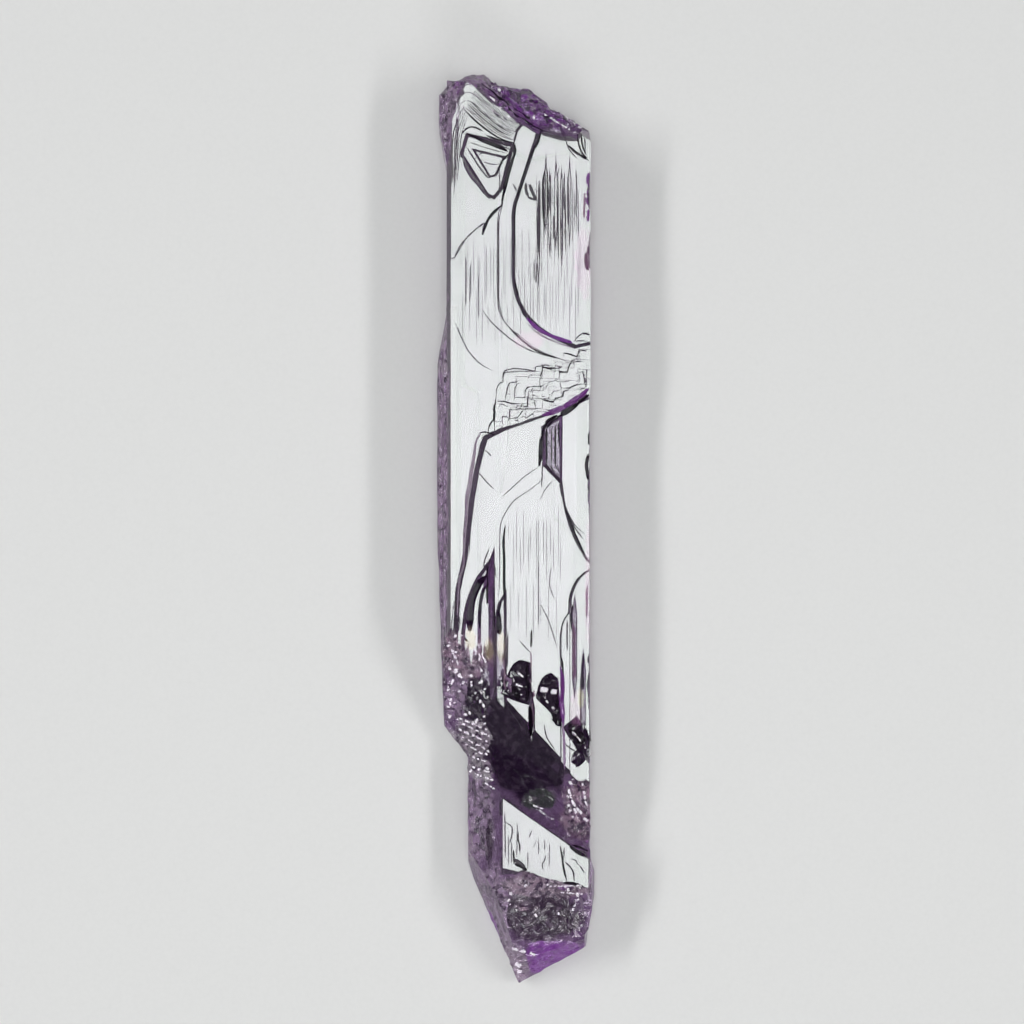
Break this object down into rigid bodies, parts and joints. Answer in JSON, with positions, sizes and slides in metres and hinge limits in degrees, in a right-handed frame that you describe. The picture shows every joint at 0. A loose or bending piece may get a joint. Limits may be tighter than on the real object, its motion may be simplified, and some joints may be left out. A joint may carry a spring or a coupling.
{
  "type": "kunzite crystal",
  "caption": "Long flattened lilac crystal lying on its broad back face, with stepped mirror faces, a rough etched top and a slanted point.",
  "frame": {"origin": "middle of the crystal's bounding rectangle, on the flat back face that it rests on", "axes": "+Z out of the broad front face, +Y along the crystal towards its rough top, +X towards its straight striated edge"},
  "size_m": [0.0252, 0.1468, 0.012],
  "materials": {
    "kunzite": "clear pale lilac, glossy growth faces, etched frosty ends"
  },
  "bodies": {
    "root": {"kunzite_crystal": "kunzite"}
  },
  "joints": []
}
